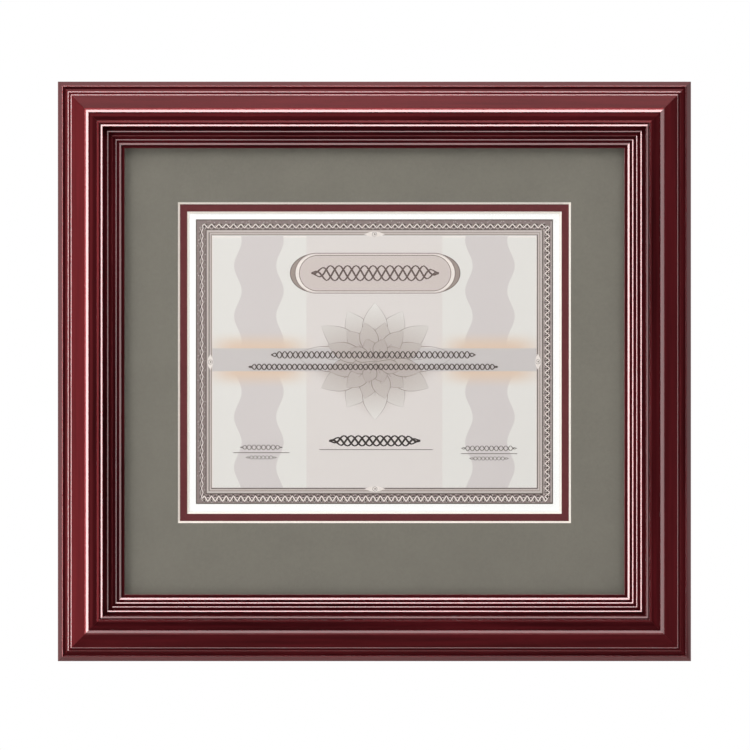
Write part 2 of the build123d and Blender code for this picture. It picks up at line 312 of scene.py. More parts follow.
@dataclass(frozen=True)
class Finish:
    """What all finishes share: a name, and that they are mixed into a material."""

    name: str

    def mix(self) -> Recipe:
        """Mixes the finish."""
        raise NotImplementedError

    def build(self) -> Material:
        """Builds the material."""
        return self.mix().material


@dataclass(frozen=True)
class LacqueredMahogany(Finish):
    """Mahogany-stained hardwood under clear gloss lacquer: deep red, and all that it mirrors.

    The stain sits in the wood, so the colour streaks along the grain, and the lacquer above it is
    smooth, so every edge of the moulding draws a crisp bright line.
    """

    grain: Grain
    deep: str = "#0b0203"
    bright: str = "#450f14"
    pore: str = "#100103"
    gleam: str = "#ff666c"
    wood_roughness: float = 0.32
    wood_level: float = 1.0
    coat: float = 1.0
    coat_roughness: float = 0.05

    def mix(self) -> Recipe:
        """Stains the wood, fills its pores and lays the lacquer over them.

        Returns:
            The finished recipe.
        """
        shader = {
            "Roughness": self.wood_roughness,
            "IOR": 1.5,
            "Specular IOR Level": self.wood_level,
            "Specular Tint": linear(self.gleam),
            "Coat Weight": self.coat,
            "Coat Roughness": self.coat_roughness,
            "Coat IOR": 1.53,
        }
        recipe = Recipe(self.name, shader, self.deep)
        # Streaks of the stain are about 2.4 mm wide, and their tone drifts over 30 mm.
        streak = recipe.mottle(self.grain.size(90, 2.4), 3, 0.32, 0.68)
        drift = recipe.mottle(self.grain.size(260, 30), 1)
        tone = recipe.add("Mix", {MIX_SHARE: 0.45, MIX_FIRST: streak, MIX_SECOND: drift})
        recipe.lay(self.bright, tone)
        # Real pores are 0.2 mm wide. They are drawn three times as wide, to show in the render.
        pore = recipe.mottle(self.grain.size(11, 0.6), 1, 0.6, 0.74)
        recipe.lay(self.pore, pore, 0.4)
        sunk = {"Strength": 0.05, "Distance": 0.02 * MM, "invert": True, "Height": pore}
        recipe.feed("Normal", "Bump", sunk)
        return recipe


@dataclass(frozen=True)
class BareHardwood(Finish):
    """The same wood planed and left bare on the back: matt, brownish pink, with open pores."""

    grain: Grain

    def mix(self) -> Recipe:
        """Mixes the growth streaks with the planer's fuzz.

        Returns:
            The finished recipe.
        """
        recipe = Recipe(self.name, {"Roughness": 0.72, "IOR": 1.45}, "#8a5a3e")
        # Growth streaks are about 3 mm wide, and the planer's fuzz is under a millimetre.
        recipe.lay("#b98a66", recipe.mottle(self.grain.size(120, 3.0), 4))
        fuzz = recipe.mottle(self.grain.size(9, 0.5), 2, 0.35)
        recipe.lay("#5f3a28", fuzz, 0.3)
        sunk = {"Strength": 0.5, "Distance": 0.06 * MM, "invert": True, "Height": fuzz}
        recipe.feed("Normal", "Bump", sunk)
        return recipe


@dataclass(frozen=True)
class MatBoard(Finish):
    """Conservation mat board: a coloured paper face on a cream core that its bevel lays bare.

    The face has the faint mottling of laid pulp. It is matt, like a dry watercolour paper.
    """

    paper: str
    shade: str
    face_y: float
    core: str = "#f5ebe3"
    paper_thickness: float = 0.03

    def mix(self) -> Recipe:
        """Mottles the paper; whatever lies behind it is core.

        Returns:
            The finished recipe.
        """
        shader = {"Roughness": 0.88, "IOR": 1.45, "Specular IOR Level": 0.15}
        recipe = Recipe(self.name, shader, self.shade)
        # Pulp fibres clump at about 1.5 mm, and clouds of tone are 25 mm across.
        fibre, cloud = recipe.mottle(1.54, 3), recipe.mottle(25, 2)
        tone = recipe.add("Mix", {MIX_SHARE: 0.4, MIX_FIRST: fibre, MIX_SECOND: cloud})
        recipe.lay(self.paper, tone)
        depth = recipe.add("SeparateXYZ", {0: recipe.place}, "Y")
        core_y = (self.face_y + self.paper_thickness) * MM
        behind = {"operation": "GREATER_THAN", 0: depth, 1: core_y}
        recipe.lay(self.core, recipe.add("Math", behind))
        recipe.feed("Normal", "Bump", {"Strength": 0.35, "Distance": 0.05 * MM, "Height": fibre})
        return recipe


@dataclass(frozen=True)
class FloatGlass(Finish):
    """Clear 2 mm float glass: nearly unseen, with a breath of green."""

    def mix(self) -> Recipe:
        """Lets the lamps and the room's light straight through, as a thin pane does.

        Returns:
            The finished recipe.
        """
        shader = {"Roughness": 0.0, "IOR": 1.5, "Transmission Weight": 1.0}
        recipe = Recipe(self.name, shader, "#fbfefc")
        surface, clear = recipe.shader.outputs[0], recipe.add("BsdfTransparent", {})
        for ray in ("Is Diffuse Ray", "Is Shadow Ray"):
            share = recipe.add("LightPath", {}, ray)
            surface = recipe.add("MixShader", {0: share, 1: surface, 2: clear})
        recipe.tree.links.new(surface, recipe.output.inputs["Surface"])
        # Its faces wave by a few microns over about 60 mm.
        wave = recipe.mottle(62.5, 0)
        recipe.feed("Normal", "Bump", {"Strength": 0.04, "Distance": 0.05 * MM, "Height": wave})
        return recipe


# Printed ink is matt, because the paper drinks its oil.
INK_SHADER = {"Roughness": 0.62, "IOR": 1.48, "Specular IOR Level": 0.25}


@dataclass(frozen=True)
class PrintingInk(Finish):
    """Engraved printing ink: matt, and slightly uneven where it soaks into the paper."""

    colour: str
    worn: str

    def mix(self) -> Recipe:
        """Mixes the ink; paper fibres lift it in spots of about half a millimetre.

        Returns:
            The finished recipe.
        """
        recipe = Recipe(self.name, INK_SHADER, self.colour)
        recipe.lay(self.worn, recipe.mottle(0.526, 1, 0.42, 0.8))
        return recipe


@dataclass(frozen=True)
class FadingInk(Finish):
    """A screened tint that fades from the print's middle outward, as a fine halftone does."""

    near: str
    far: str
    half: Point
    centre_z: float
    full_until: float = 0.3

    def mix(self) -> Recipe:
        """Mixes the tint by how far out each spot lies, as a share of the half sizes.

        Returns:
            The finished recipe.
        """
        recipe = Recipe(self.name, INK_SHADER, self.near)
        wide, high = self.half
        scale = (1 / MM / wide, 0, 1 / MM / high)
        shares = {"Location": (0, 0, -self.centre_z / high), "Scale": scale}
        spot = recipe.add("Mapping", {**shares, "Vector": recipe.place})
        reach = recipe.add("VectorMath", {"operation": "LENGTH", 0: spot}, "Value")
        fade = {"From Min": self.full_until, "From Max": 1.0, "Value": reach}
        recipe.lay(self.far, recipe.add("MapRange", fade))
        return recipe


@dataclass(frozen=True)
class PrintedPaper(Finish):
    """A certificate sheet: white wove paper with tints printed inside its border.

    All places are in millimetres from the middle of the print, and mirrored about its upright
    middle line.
    """

    centre_z: float
    inner_half: Point = (112.4, 87.4)
    rim: float = 2.0
    softness: float = 0.15
    panel_half: float = 46.9
    wave_at: float = 79.7
    wave_half: float = 14.5
    wave_swing: float = 2.6
    wave_pitch: float = 34.8
    wave_start: float = 66.9
    band_half: Point = (111.8, 7.9)
    band_rise: float = 2.0
    glow_reach: float = 12.5
    glow_at: float = 80.0
    glow_half: tuple[float, float] = (14.0, 42.0)
    rosette_half: Point = (58.0, 42.0)
    rosette_shares: tuple[float, float] = (0.55, 1.03)

    def gap(self, recipe: Recipe, value: Socket, middle: float | Socket) -> Socket:
        """How far a value lies from a middle, either way."""
        beyond = recipe.add("Math", {"operation": "SUBTRACT", 0: value, 1: middle})
        return recipe.add("Math", {"operation": "ABSOLUTE", 0: beyond})

    def edge(self, value: Socket, half: float) -> tuple[Socket, float, float]:
        """A limit with an edge as sharp as print: its value, where it is full and where it ends."""
        return value, half - self.softness, half + self.softness

    def within(
        self, recipe: Recipe, *limits: tuple[Socket, float, float], whole: Socket | None = None
    ) -> Socket:
        """The share that lies within all of several soft limits.

        Args:
            recipe: the material in the making.
            limits: for each, the value measured, where its share is 1 and where it has fallen to 0.
            whole: a share that these limits narrow further.

        Returns:
            The product of the shares.
        """
        for value, full, none in limits:
            fall = {"interpolation_type": "SMOOTHSTEP", "From Min": none, "From Max": full}
            share = recipe.add("MapRange", {**fall, "Value": value})
            if whole is not None:
                share = recipe.add("Math", {"operation": "MULTIPLY", 0: whole, 1: share})
            whole = share
        return whole

    def mix(self) -> Recipe:
        """Prints the tints one over the other.

        Returns:
            The finished recipe.
        """
        shader = {"Roughness": 0.7, "IOR": 1.48, "Specular IOR Level": 0.25}
        recipe = Recipe(self.name, shader, "#f8f6f6")
        to_mm = {"Location": (0, 0, -self.centre_z), "Scale": (1 / MM, 1 / MM, 1 / MM)}
        spot = recipe.add("Mapping", {**to_mm, "Vector": recipe.place})
        mirrored = recipe.add("VectorMath", {"operation": "ABSOLUTE", 0: spot})
        away = recipe.add("SeparateXYZ", {0: mirrored}, "X")
        off = recipe.add("SeparateXYZ", {0: mirrored}, "Z")
        height = recipe.add("SeparateXYZ", {0: spot}, "Z")

        # The tinted ground, its pinker rim and the middle panel
        wide, high = self.inner_half
        inside = self.within(recipe, self.edge(away, wide), self.edge(off, high))
        recipe.lay("#dbd6d3", inside)
        middle = self.within(recipe, (away, wide - self.rim, wide), (off, high - self.rim, high))
        recipe.lay("#e6dcd8", recipe.add("Math", {"operation": "SUBTRACT", 0: inside, 1: middle}))
        panel = self.edge(away, self.panel_half)
        recipe.lay("#d6cdcb", self.within(recipe, panel, whole=inside))

        # A wavy band runs down each side.
        pace = math.tau / self.wave_pitch
        wave = {"operation": "MULTIPLY_ADD", 0: height, 1: pace, 2: -pace * self.wave_start}
        swing = recipe.add("Math", {"operation": "COSINE", 0: recipe.add("Math", wave)})
        path = {"operation": "MULTIPLY_ADD", 0: swing, 1: self.wave_swing, 2: self.wave_at}
        beside = self.gap(recipe, away, recipe.add("Math", path))
        wavy = self.edge(beside, self.wave_half)
        recipe.lay("#cbc2c2", self.within(recipe, wavy, whole=inside))

        # The print's light band crosses the middle, with a peach glow above and below its ends.
        lifted = self.gap(recipe, height, self.band_rise)
        above = lifted, self.band_half[1], self.band_half[1] + self.glow_reach
        along = self.gap(recipe, away, self.glow_at), *self.glow_half
        recipe.lay("#d6bca9", self.within(recipe, above, along, whole=inside))
        rise = recipe.add("Math", {"operation": "DIVIDE", 0: off, 1: self.rosette_half[1]})
        diamond = {"operation": "MULTIPLY_ADD", 0: away, 1: 1 / self.rosette_half[0], 2: rise}
        fill = recipe.add("Math", diamond), *self.rosette_shares
        recipe.lay("#b9aca7", self.within(recipe, fill))
        band = self.edge(away, self.band_half[0]), self.edge(lifted, self.band_half[1])
        recipe.lay("#c3bbbb", self.within(recipe, *band))

        # Wove paper shows clumps of fibre about 0.8 mm across, very faintly.
        fibre = recipe.mottle(0.8, 2)
        recipe.lay("#b8b0a8", fibre, 0.05)
        recipe.feed("Normal", "Bump", {"Strength": 0.08, "Distance": 0.02 * MM, "Height": fibre})
        return recipe


@dataclass(frozen=True)
class Hardboard(Finish):
    """Tempered hardboard: wood fibre pressed hard and smooth, tan with darker and paler fibres."""

    def mix(self) -> Recipe:
        """Mixes fibres 1 to 5 mm long; the sheet's tone drifts over 60 mm.

        Returns:
            The finished recipe.
        """
        recipe = Recipe(self.name, {"Roughness": 0.55, "IOR": 1.5}, "#6f4a2f")
        fibre = recipe.mottle(2.38, 6, 0.35, 0.68)
        recipe.lay("#946a46", fibre)
        recipe.lay("#4e3220", recipe.mottle((1.11, 1.11, 3.85), 2, 0.55, 0.72), 0.45)
        recipe.lay("#a77d56", recipe.mottle(62.5, 1), 0.25)
        recipe.feed("Normal", "Bump", {"Strength": 0.4, "Distance": 0.05 * MM, "Height": fibre})
        return recipe


@dataclass(frozen=True)
class CoatedPaper(Finish):
    """The clay-coated paper of foam board: smooth, white and faintly cloudy."""

    def mix(self) -> Recipe:
        """Mixes clouds about 8 mm across.

        Returns:
            The finished recipe.
        """
        recipe = Recipe(self.name, {"Roughness": 0.5, "IOR": 1.5}, "#eceae4")
        recipe.lay("#f6f5f1", recipe.mottle(8.33, 3))
        return recipe


@dataclass(frozen=True)
class LinenTape(Finish):
    """Gummed linen tape: a plain weave with eighteen threads to the centimetre."""

    pitch: float = 10 / 18

    def mix(self) -> Recipe:
        """Weaves the threads, turned to lie in the tape's plane.

        Returns:
            The finished recipe.
        """
        recipe = Recipe(self.name, {"Roughness": 0.85, "IOR": 1.5}, "#cfc6b2")
        turned = recipe.add("Mapping", {"Rotation": (math.pi / 2, 0, 0), "Vector": recipe.place})
        weave = {"Scale": 1 / (self.pitch * MM), "Vector": turned}
        thread = recipe.add("TexChecker", weave, "Fac")
        recipe.lay("#e6dfcf", thread)
        recipe.feed("Normal", "Bump", {"Strength": 0.5, "Distance": 0.05 * MM, "Height": thread})
        return recipe


@dataclass(frozen=True)
class PlatedSteel(Finish):
    """Stamped steel under bright zinc: a cool grey metal with a satin, slightly blotchy gloss."""

    bright: str = "#c9ccd0"
    dull: str = "#9ba0a6"
    roughness: tuple[float, float] = (0.24, 0.42)

    def mix(self) -> Recipe:
        """Clouds the plating over 4 mm, on rolling marks 0.3 mm wide.

        Returns:
            The finished recipe.
        """
        recipe = Recipe(self.name, {"Metallic": 1.0}, self.dull)
        recipe.lay(self.bright, recipe.mottle(4, 3))
        rolled = recipe.mottle((0.333, 0.333, 6.25), 1)
        smooth, rough = self.roughness
        recipe.feed("Roughness", "MapRange", {"To Min": smooth, "To Max": rough, "Value": rolled})
        return recipe


@dataclass(frozen=True)
class MouldedRubber(Finish):
    """Moulded grey rubber: matt, with the fine pits of its mould and a little dust."""

    def mix(self) -> Recipe:
        """Lays dust in clouds of 3 mm over pits of 0.4 mm.

        Returns:
            The finished recipe.
        """
        recipe = Recipe(self.name, {"Roughness": 0.78, "IOR": 1.52}, "#3b3c3e")
        recipe.lay("#6d6d6c", recipe.mottle(3.33, 3, 0.45, 0.85))
        pit = recipe.mottle(0.385, 1, 0.35)
        recipe.feed("Normal", "Bump", {"Strength": 0.3, "Distance": 0.05 * MM, "Height": pit})
        return recipe


# The moulding


@dataclass(frozen=True)
class Corner:
    """A corner of the moulding's section, in millimetres: how far across, how deep, how round."""

    across: float
    depth: float
    radius: float


class RailPlace(Enum):
    """Which side of the frame a rail is, with its turn in degrees about Y from the left rail."""

    LEFT = 0
    TOP = 90
    RIGHT = 180
    BOTTOM = -90

    @property
    def node(self) -> str:
        """The name of the node that this rail stands for."""
        return f"{self.name.lower()}_rail"

    @property
    def grain(self) -> Grain:
        """The way this rail's grain runs."""
        return Grain.UPRIGHT if self in (RailPlace.LEFT, RailPlace.RIGHT) else Grain.LEVEL


@dataclass
class Moulding:
    """Four mitred rails of a stepped moulding, run from one section, as a moulder cuts them."""

    size: tuple[float, float]
    width: float = 46.0
    rebate_width: float = 6.35
    rebate_depth: float = 13.17
    lip: float = 3.6
    rise: float = 11.5
    back_y: float = -5.0
    back_arris: float = 0.6
    mitre_gap: float = 0.05
    slot_room: float = 0.2
    rounding_limit: float = 0.48
    arc_steps: int = 5
    sharp_from: float = 20.0
    flat_weight: int = 80
    # How far off a face may lie from where it is looked for, and on the rounded outer side
    play: float = 0.01
    outer_play: float = 0.1
    # Each corner of the face: its share of the width, of the rise, and its rounding as a share
    # of the width.
    face_shares: tuple[tuple[float, float, float], ...] = (
        (0.000, 0.068, 0.020),  # outer edge
        (0.066, 0.293, 0.030),
        (0.085, 0.318, 0.010),
        (0.085, 0.258, 0.000),  # quirk
        (0.118, 0.264, 0.001),
        (0.153, 0.300, 0.000),
        (0.153, 0.378, 0.001),  # first step
        (0.162, 0.395, 0.003),
        (0.199, 0.426, 0.000),
        (0.199, 0.518, 0.001),  # second step
        (0.208, 0.533, 0.004),
        (0.270, 0.601, 0.300),  # hollow of the broad band
        (0.345, 0.683, 0.300),
        (0.405, 0.748, 0.060),
        (0.430, 0.786, 0.100),
        (0.468, 0.854, 0.004),  # crest
        (0.468, 0.784, 0.000),
        (0.527, 0.838, 0.020),  # swell behind the crest
        (0.590, 0.859, 0.000),
        (0.590, 0.899, 0.001),  # low bead
        (0.622, 0.939, 0.006),
        (0.628, 0.908, 0.000),
        (0.650, 0.908, 0.000),
        (0.650, 0.953, 0.001),  # bright bead
        (0.663, 0.974, 0.040),
        (0.677, 1.000, 0.003),
        (0.677, 0.468, 0.003),
        (0.743, 0.462, 0.001),  # first step down
        (0.759, 0.428, 0.002),
        (0.759, 0.360, 0.000),
        (0.810, 0.350, 0.001),  # second step down
        (0.820, 0.327, 0.002),
        (0.820, 0.290, 0.000),
        (0.867, 0.282, 0.001),  # third step down
        (0.882, 0.251, 0.002),
        (0.882, 0.205, 0.000),
        (0.922, 0.199, 0.001),  # fourth step down
        (0.949, 0.143, 0.002),
        (0.949, 0.040, 0.003),
        (1.000, 0.000, 0.009),  # sight edge
    )

    def corners(self) -> list[Corner]:
        """Lists the whole section's corners.

        Returns:
            The corners, round from the outer edge of the face.
        """
        front = self.rebate_depth + self.lip
        face = [
            Corner(across * self.width, front + rise * self.rise, rounding * self.width)
            for across, rise, rounding in self.face_shares
        ]
        rebate = self.width - self.rebate_width
        return [
            *face,
            Corner(self.width, self.rebate_depth, 0),
            Corner(rebate, self.rebate_depth, 0),
            Corner(rebate, 0, 0),
            Corner(0, 0, self.back_arris),
        ]

    def draw_section(self) -> Piece:
        """Draws the section point by point, closes it to a face and rounds its corners.

        Returns:
            A flat piece in the XY plane, its outer edge at X 0.
        """
        corners = self.corners()
        points = [Vector((corner.across, self.back_y - corner.depth, 0)) * MM for corner in corners]
        plane = bpy.ops.mesh.primitive_plane_add
        section = begin("moulding_section", plane, size=MM, location=points[0])
        settle(section)
        edit(section)
        bpy.ops.mesh.merge(type="CENTER")
        bpy.ops.mesh.select_all(action="SELECT")
        for before, after in zip(points, points[1:]):
            bpy.ops.mesh.extrude_vertices_move(TRANSFORM_OT_translate={"value": after - before})
        bpy.ops.mesh.select_all(action="SELECT")
        bpy.ops.mesh.edge_face_add()
        for index, corner in enumerate(corners):
            if corner.radius == 0:
                continue
            here = points[index]
            before, after = points[index - 1] - here, points[(index + 1) % len(points)] - here
            tangent = corner.radius * MM / math.tan(before.angle(after) / 2)
            limit = self.rounding_limit * min(before.length, after.length)
            leave_edit()
            edit(section, lambda place: (place - here).length < 1e-3 * MM)
            bpy.ops.mesh.bevel(
                offset_type="OFFSET",
                offset=min(tangent, limit),
                segments=self.arc_steps,
                profile=0.5,
                affect="VERTICES",
                clamp_overlap=False,
            )
        leave_edit()
        return section

    def cut_rail(self, section: Piece, place: RailPlace) -> Piece:
        """Runs a copy of the section to a rail's length and cuts both mitres.

        Args:
            section: the moulding's section.
            place: which rail this is.

        Returns:
            The rail in its place.
        """
        length, distance = self.size if place.grain is Grain.LEVEL else self.size[::-1]
        rail = copy_of(section)
        rail.name = f"{place.name.lower()}_moulding"
        rail.location.z = -length * MM / 2
        settle(rail)
        edit(rail)
        bpy.ops.mesh.extrude_region_move(TRANSFORM_OT_translate={"value": (0, 0, length * MM)})
        for end in (-1, 1):
            bpy.ops.mesh.select_all(action="SELECT")
            bpy.ops.mesh.bisect(
                plane_co=(0, 0, end * (length - self.mitre_gap) * MM / 2),
                plane_no=(1, 0, end),
                use_fill=True,
                clear_outer=True,
            )
        turn_outward()
        turn = math.radians(place.value)
        rail.rotation_euler.y = turn
        settle(rail)
        rail.location = Vector((-math.cos(turn), 0, math.sin(turn))) * distance * MM / 2
        settle(rail)
        return rail

    def cut_nail_slots(self, rail: Piece) -> None:
        """Cuts the slots that the mitre nails were driven into, with a copy of the nails.

        Args:
            rail: the rail in its place.
        """
        cutter = copy_of(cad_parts["mitre_nails"])
        cutter.parent = None
        edit(cutter)
        bpy.ops.mesh.remove_doubles(threshold=1e-3 * MM)
        leave_edit()
        cutter.location.y = self.slot_room * MM
        settle(cutter)
        take(rail)
        slots = rail.modifiers.new("nail_slots", "BOOLEAN")
        slots.operation, slots.solver, slots.object = "DIFFERENCE", "EXACT", cutter
        bpy.ops.object.modifier_apply(modifier=slots.name)
        bpy.data.objects.remove(cutter)

    def polish(self, rail: Piece) -> None:
        """Gives a rail smooth roundings beside flats that stay flat.

        Args:
            rail: the rail in its place.
        """
        take(rail)
        bpy.ops.object.shade_smooth_by_angle(angle=math.radians(self.sharp_from))
        weighted = rail.modifiers.new("flat_faces", "WEIGHTED_NORMAL")
        weighted.keep_sharp = True
        weighted.weight = self.flat_weight
        bpy.ops.object.modifier_apply(modifier=weighted.name)

    def finish_rail(self, rail: Piece, grain: Grain) -> None:
        """Dresses a rail: gloss in front, satin on the outer side, bare behind and in the rebate.

        Args:
            rail: the rail in its place.
            grain: the way its grain runs.
        """
        lacquer = LacqueredMahogany(f"lacquered_mahogany_{grain.value}", grain)
        bare = BareHardwood(f"planed_hardwood_{grain.value}", grain)
        # The outer side gets one thin coat that isn't rubbed out, so it spreads what it mirrors.
        satin = LacqueredMahogany(
            f"satin_mahogany_{grain.value}",
            grain,
            wood_roughness=0.5,
            wood_level=0.5,
            coat=0.25,
            coat_roughness=0.38,
        )
        dress(rail, lacquer.build(), bare.build(), satin.build())
        back = (self.back_y - self.play) * MM
        rebate = (self.back_y - self.rebate_depth - self.play) * MM
        rebate_edge = (self.width - self.rebate_width - self.play) * MM
        low, high = (Vector(corner) for corner in CAD_BOX)
        for polygon in rail.data.polygons:
            spot, facing = polygon.center, [abs(part) for part in polygon.normal]
            edge = min(spot.x - low.x, high.x - spot.x, spot.z - low.z, high.z - spot.z)
            behind = spot.y > back and polygon.normal.y > 0.5
            in_rebate = spot.y > rebate and edge > rebate_edge
            mitre = abs(facing[0] - facing[2]) < self.play and facing[1] < self.play
            outer = edge < self.outer_play * MM and facing[1] < self.outer_play
            outer_side = outer and not mitre
            polygon.material_index = 2 if outer_side else int(behind or in_rebate or mitre)

    def build(self) -> None:
        """Builds, finishes and hands over the four rails."""
        section = self.draw_section()
        for place in RailPlace:
            rail = self.cut_rail(section, place)
            self.cut_nail_slots(rail)
            self.polish(rail)
            self.finish_rail(rail, place.grain)
            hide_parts(place.node)
            hand_over(rail)
        bpy.data.objects.remove(section)


# The certificate


class Ink(Enum):
    """The print's inks: each one's colour, and its colour where the paper's fibres lift it."""

    PALE_BORDER = ("#dfd2ce", "#efe5e1")
    GREY_BORDER = ("#bcafab", "#cdc1bd")
    UMBER = ("#352826", "#5a4b47")
    EDGING = ("#564a47", "#6d605c")
    BORDER_GROUND = ("#7d6e6c", "#918180")
    BORDER_LIGHT = ("#bbafab", "#c6bab6")
    BORDER_GREY = ("#978a85", "#a59993")
    PETAL_LINE = ("#6b5e59", "#857872")
    CARTOUCHE_LINE = ("#5a4b48", "#75655f")
    CARTOUCHE_RING = ("#73645f", "#8b7c76")
    CARTOUCHE_SHADE = ("#94857f", "#a3958f")
    CARTOUCHE_CREAM = ("#e3d8d3", "#eae0dc")
    CARTOUCHE_BLUSH = ("#d2c6c2", "#d9cdc9")
    CARTOUCHE_TINT = ("#c6b8b5", "#ccbfbb")
    ORNAMENT = ("#453b38", "#675a55")
    HEADING = ("#2a2321", "#4a413e")
    FINE_LINE = ("#4f4642", "#6b615c")
    BOSS = ("#dfd4d0", "#e8dfdb")

    def material(self) -> Material:
        """The ink's material, built when it is first asked for."""
        name = f"{self.name.lower()}_ink"
        return bpy.data.materials.get(name) or PrintingInk(name, *self.value).build()


@dataclass(frozen=True)
class Stroke:
    """A line of ink: its points in millimetres from the print's middle, and its width at each.

    Its lift, in layers, lays it over the strokes below it.
    """

    points: tuple[Point, ...]
    widths: tuple[float, ...] = ()
    closed: bool = False
    lift: float = 0.0


class Side(Enum):
    """A side of the printed border, with the way that points out from the sheet's middle."""

    TOP = (0, 1)
    RIGHT = (1, 0)
    BOTTOM = (0, -1)
    LEFT = (-1, 0)


@dataclass(frozen=True)
class EyeRow:
    """A row of small dark strokes along the border, one to a fold.

    Each lies at an inset from the border's edge, a share of a fold on from the fold's start,
    and turns inward by its slant. All but the share are in millimetres.
    """

    inset: float
    shift: float
    half_length: float
    slant: float
    width: float


@dataclass(frozen=True)
class SideLine:
    """A thin line along one side of the border, dark or light, at an inset in millimetres."""

    inset: float
    width: float
    dark: bool


@dataclass(frozen=True)
class SidePattern:
    """How one side of the border is engraved, in millimetres.

    The photographed print shows its plait boldly below, finely on the left and folded at the top.
    """

    side: Side
    pitch: float
    inset: float
    swing: float
    over: float
    under: float
    sink: float
    eyes: tuple[EyeRow, ...]
    lines: tuple[SideLine, ...] = ()


@dataclass(frozen=True)
class PetalRing:
    """A ring of the rosette's petals.

    Its turn is a share of a petal's step, its reach a share of the rosette's size and its belly
    half a petal's greatest width in millimetres. The tint goes from near to far.
    """

    count: int
    turn: float
    reach: float
    belly: float
    near: str
    far: str


@dataclass
class Certificate:
    """The printed sheet: tints in its paper, and each line of engraving as a thin layer of ink.

    Real ink stands 0.02 mm proud. The layers here are 0.05 mm apart, so that none flickers
    through another.
    """

    centre_z: float = 6.0
    face_y: float = -13.25
    layer: float = 0.05
    border: tuple[float, float] = (246.4, 196.4)
    border_lift: float = 0.7
    cartouche_middle: Point = (0.5, 61.75)
    rosette_middle: Point = (0.4, 0.9)
    rosette_half: tuple[float, float] = (55.5, 40.5)
    rosette_spread: float = 1.35
    petal_curl: float = 0.08
    petal_steps: int = 24
    petal_thickness: float = 0.25
    ring_lift: float = 0.7
    next_lift: float = 0.3
    shade_half: Point = (84.0, 41.0)
    fold_steps: int = 8
    fold_gain: float = 1.12
    specks_per_fold: int = 3
    speck_half: float = 0.35
    speck_lean: float = 0.4
    speck_insets: tuple[Point, Point] = ((1.0, 3.0), (5.6, 6.6))
    wave_steps: int = 12
    ribbon_taper: float = 0.6
    rim_radius: float = 1.5
    rim_steps: int = 20
    patterns: tuple[SidePattern, ...] = (
        SidePattern(
            Side.TOP, 5.03, 4.6, 1.05, 0.7, 0.5, 1.0,
            (EyeRow(4.9, 0.25, 0.65, 0.0, 1.25), EyeRow(3.6, 0.6, 0.75, 0.6, 0.75),
             EyeRow(6.0, 0.65, 0.7, -0.4, 0.6)),
        ),
        SidePattern(
            Side.RIGHT, 5.7, 3.9, 1.3, 0.68, 0.7, 0.0,
            (EyeRow(5.55, 0.25, 1.3, 0.0, 1.0), EyeRow(2.3, 0.75, 1.2, 0.2, 1.0),
             EyeRow(3.95, 0.25, 0.75, 0.15, 1.05), EyeRow(3.85, 0.75, 0.75, -0.15, 0.9)),
            (SideLine(1.3, 0.45, False), SideLine(6.15, 0.5, False), SideLine(10.9, 0.45, True)),
        ),
        SidePattern(
            Side.BOTTOM, 5.05, 3.7, 1.5, 0.85, 0.8, -0.6,
            (EyeRow(2.1, 0.75, 0.8, 0.0, 1.7), EyeRow(5.3, 0.25, 0.9, -0.4, 1.2),
             EyeRow(6.3, 0.75, 1.1, 0.25, 0.9), EyeRow(3.4, 0.25, 0.75, 0.4, 1.2),
             EyeRow(4.1, 0.75, 0.6, -0.3, 0.9)),
            (SideLine(10.8, 0.42, True),),
        ),
        SidePattern(
            Side.LEFT, 5.7, 4.5, 0.45, 0.6, 0.5, -1.1,
            (EyeRow(3.0, 0.2, 1.2, 0.4, 0.7), EyeRow(5.5, 0.7, 1.1, 0.1, 0.75)),
            (SideLine(9.15, 0.5, True),),
        ),
    )
    rings: tuple[PetalRing, ...] = (
        PetalRing(12, 0.0, 1.0, 8.6, "#b8aca8", "#dcd6d3"),
        PetalRing(12, 0.5, 0.7, 6.4, "#b5a9a5", "#ccc3bf"),
        PetalRing(8, 0.5, 0.42, 5.0, "#b1a5a1", "#c2b7b3"),
    )

    def print_on(self, piece: Piece, level: float, ink: Material) -> None:
        """Lays a flat piece at its level above the sheet's face, dresses it and hands it over.

        Args:
            piece: a flat piece in the XZ plane, its place measured from the print's middle.
            level: how many layers it stands above the sheet.
            ink: its material.
        """
        piece.location = Vector((0, self.face_y - level * self.layer, self.centre_z)) * MM
        settle(piece)
        dress(piece, ink)
        hand_over(piece)

    def engrave(
        self,
        name: str,
        strokes: Sequence[Stroke],
        width: float,
        level: float,
        ink: Material,
        thickness: float = 1.0,
    ) -> None:
        """Draws strokes as one flat layer of ink.

        Args:
            name: the piece's name.
            strokes: the lines, in millimetres from the print's middle.
            width: the line's width in millimetres.
            level: how many layers it stands above the sheet.
            ink: its material.
            thickness: how thick a line of full width is, in layers.
        """
        flat = thickness * self.layer / width
        curve = begin(name, bpy.ops.curve.primitive_bezier_curve_add).data
        curve.splines.clear()
        curve.dimensions = "3D"
        curve.bevel_depth = width * MM / 2
        curve.bevel_resolution = 0
        curve.use_fill_caps = True
        for stroke in strokes:
            spline = curve.splines.new("POLY")
            spline.points.add(len(stroke.points) - 1)
            spline.use_cyclic_u = stroke.closed
            widths = stroke.widths or (1.0,) * len(stroke.points)
            for target, (x, z), share in zip(spline.points, stroke.points, widths):
                target.co = (x * MM, -stroke.lift * self.layer / flat * MM, z * MM, 1)
                target.radius = share
        take(bpy.context.object)
        bpy.ops.object.convert(target="MESH")
        piece = bpy.context.object
        piece.scale.y = flat
        settle(piece)
        edit(piece)
        bpy.ops.mesh.remove_doubles(threshold=1e-4 * MM)
        turn_outward()
        bpy.ops.object.shade_flat()
        self.print_on(piece, level, ink)

